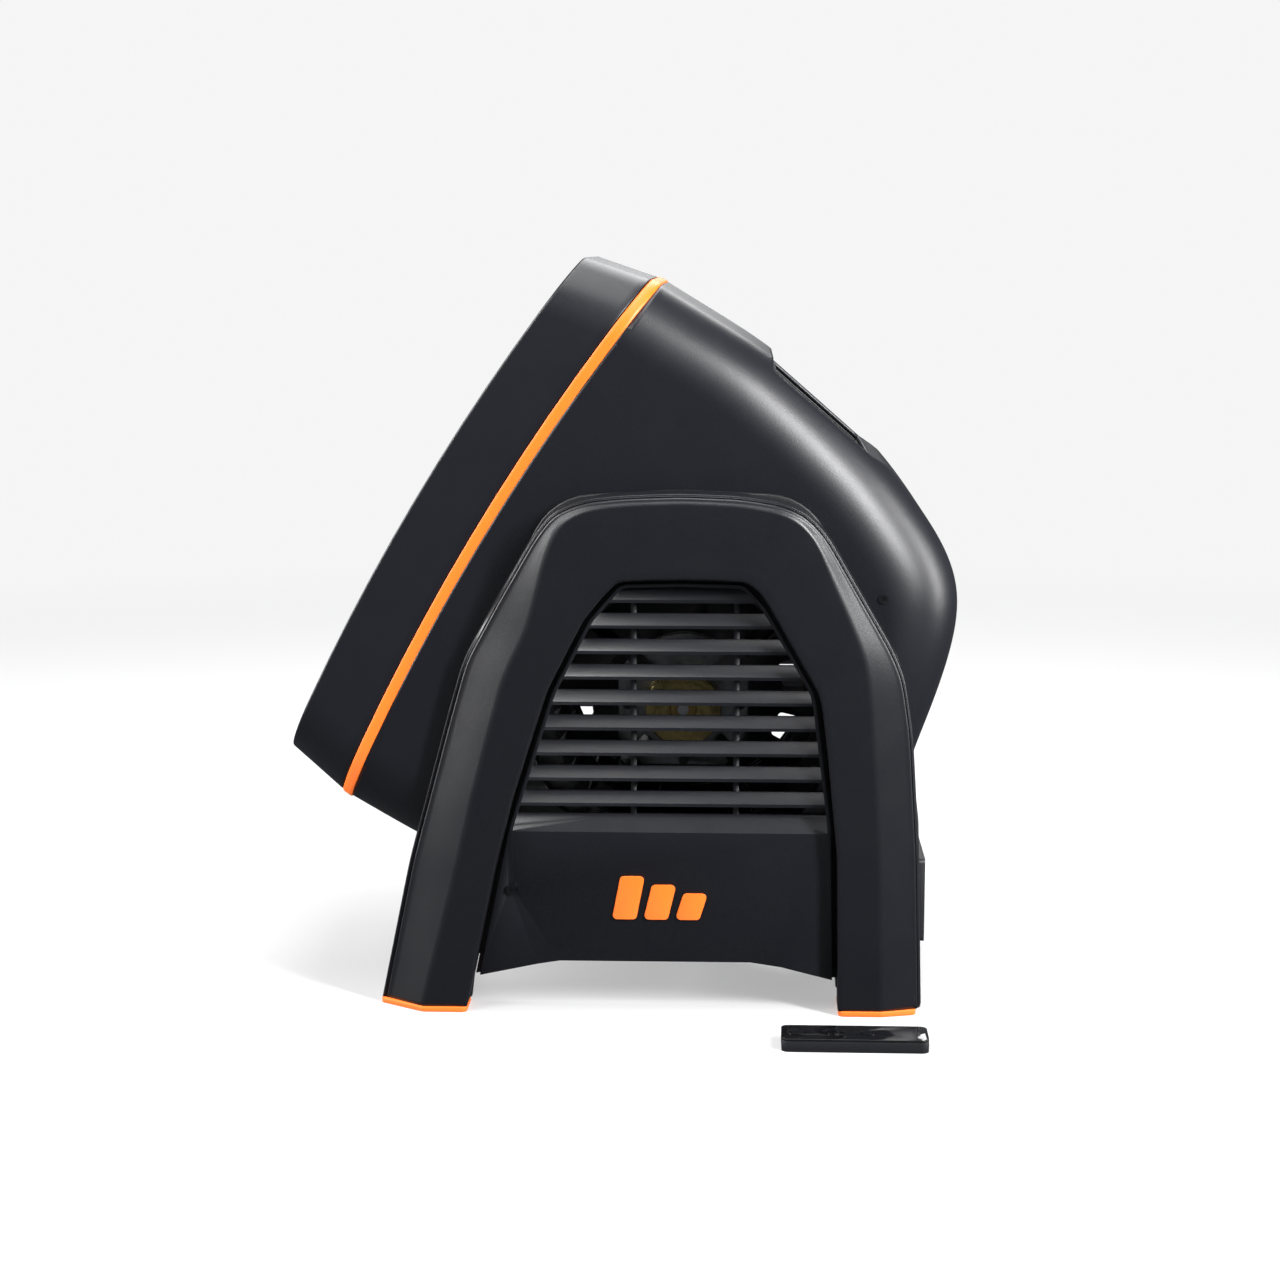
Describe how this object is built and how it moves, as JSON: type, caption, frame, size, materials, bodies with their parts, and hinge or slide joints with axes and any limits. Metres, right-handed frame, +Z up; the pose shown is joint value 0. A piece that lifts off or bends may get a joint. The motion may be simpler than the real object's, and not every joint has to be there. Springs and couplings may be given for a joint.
{
  "type": "tilting blower floor fan",
  "caption": "Tilting floor blower fan: louvred arch stand, leaning head with ringed front grille, double inlet blower wheel, carry grip, rear controls and hand remote.",
  "frame": {"origin": "on the floor, straight below the tilt axis, midway between the two side covers", "axes": "+Z up, the air outlet faces -Y, +X is the fan's own left side, where the remote lies"},
  "size_m": [0.3855, 0.476, 0.5214],
  "materials": {
    "shell_black": "fine satin grain",
    "frame_black": "matt moulded",
    "bush_white": "smooth",
    "accent_orange": "satin",
    "sole_orange": "matt",
    "button_grey": "satin",
    "window_red": "polished, dark red",
    "board_green": "solder mask",
    "screw_steel": "blackened",
    "galvanised": "galvanised",
    "bracket_black": "black, satin",
    "chromate": "yellow chromate",
    "lamination": "stacked sheets",
    "copper": "enamelled wire",
    "grommet_rubber": "matt",
    "bronze": "sintered",
    "capacitor_case": "moulded",
    "shaft_steel": "ground",
    "hub_alloy": "die cast",
    "remote_black": "satin",
    "remote_gloss": "polished"
  },
  "bodies": {
    "stand": {"left_arch_cover": "shell_black", "right_arch_cover": "shell_black", "left_side_panel": "shell_black", "right_side_panel": "shell_black", "left_inner_frame": "frame_black", "right_inner_frame": "frame_black", "left_pivot_bush": "bush_white", "right_pivot_bush": "bush_white", "left_badge": "accent_orange", "right_badge": "accent_orange", "front_crossbeam": "shell_black", "rear_control_box": "shell_black", "control_panel": "frame_black", "power_inlet": "frame_black", "control_board": "board_green", "receiver_window": "window_red", "front_soles": "sole_orange", "rear_soles": "sole_orange", "rear_foot_blocks": "frame_black", "stand_screws": "screw_steel"},
    "head": {"front_bezel": "shell_black", "accent_ring": "accent_orange", "left_rear_shell": "shell_black", "right_rear_shell": "shell_black", "scroll_housing": "frame_black", "left_inlet_ring": "frame_black", "right_inlet_ring": "frame_black", "outlet_grille": "frame_black", "handle_cup": "frame_black", "grip_bar": "shell_black", "head_screws": "screw_steel", "motor_plate": "galvanised", "motor_can": "chromate", "motor_end_bracket": "galvanised", "motor_stator": "lamination", "motor_windings": "copper", "motor_bolts": "screw_steel", "motor_arms": "bracket_black", "motor_grommets": "grommet_rubber", "shaft_bearings": "bronze", "run_capacitor": "capacitor_case"},
    "rotor": {"blower_wheel": "frame_black", "wheel_hub": "hub_alloy", "motor_shaft": "shaft_steel", "motor_rotor_core": "lamination", "shaft_clip": "shaft_steel"},
    "power_key": {"panel_button_power": "accent_orange"},
    "speed_key": {"panel_button_speed": "button_grey"},
    "timer_key": {"panel_button_timer": "button_grey"},
    "rocker": {"mains_switch": "frame_black"},
    "remote": {"remote_case": "remote_black", "remote_cover": "remote_gloss", "remote_board": "board_green"},
    "cell_tray": {"remote_battery_tray": "remote_black", "remote_coin_cell": "shaft_steel"},
    "remote_power_key": {"remote_button_power": "remote_gloss"},
    "remote_speed_key": {"remote_button_speed": "remote_gloss"},
    "remote_timer_key": {"remote_button_timer": "remote_gloss"}
  },
  "joints": [
    {"name": "head_tilt", "type": "hinge", "parent": "stand", "child": "head", "pos_m": [0, 0, 0.2036], "axis": [1, 0, 0], "range_deg": [-20, 30]},
    {"name": "wheel_spin", "type": "hinge", "parent": "head", "child": "rotor", "pos_m": [0, 0, 0.2036], "axis": [1, 0, 0], "continuous": true},
    {"name": "press_power", "type": "slide", "parent": "stand", "child": "power_key", "axis": [0, -1, 0], "range_m": [0, 0.002], "stiffness_N_per_m": 300},
    {"name": "press_speed", "type": "slide", "parent": "stand", "child": "speed_key", "axis": [0, -1, 0], "range_m": [0, 0.002], "stiffness_N_per_m": 300},
    {"name": "press_timer", "type": "slide", "parent": "stand", "child": "timer_key", "axis": [0, -1, 0], "range_m": [0, 0.002], "stiffness_N_per_m": 300},
    {"name": "rocker_tip", "type": "hinge", "parent": "stand", "child": "rocker", "pos_m": [-0.047, 0.1705, 0.074], "axis": [1, 0, 0], "range_deg": [-12, 0]},
    {"name": "remote_lift", "type": "slide", "parent": "stand", "child": "remote", "axis": [0, 0, 1], "range_m": [0, 0.2]},
    {"name": "tray_pull", "type": "slide", "parent": "remote", "child": "cell_tray", "axis": [0, 1, 0], "range_m": [0, 0.03]},
    {"name": "remote_press_power", "type": "slide", "parent": "remote", "child": "remote_power_key", "axis": [0, 0, -1], "range_m": [0, 0.0006], "stiffness_N_per_m": 250},
    {"name": "remote_press_speed", "type": "slide", "parent": "remote", "child": "remote_speed_key", "axis": [0, 0, -1], "range_m": [0, 0.0006], "stiffness_N_per_m": 250},
    {"name": "remote_press_timer", "type": "slide", "parent": "remote", "child": "remote_timer_key", "axis": [0, 0, -1], "range_m": [0, 0.0006], "stiffness_N_per_m": 250}
  ]
}
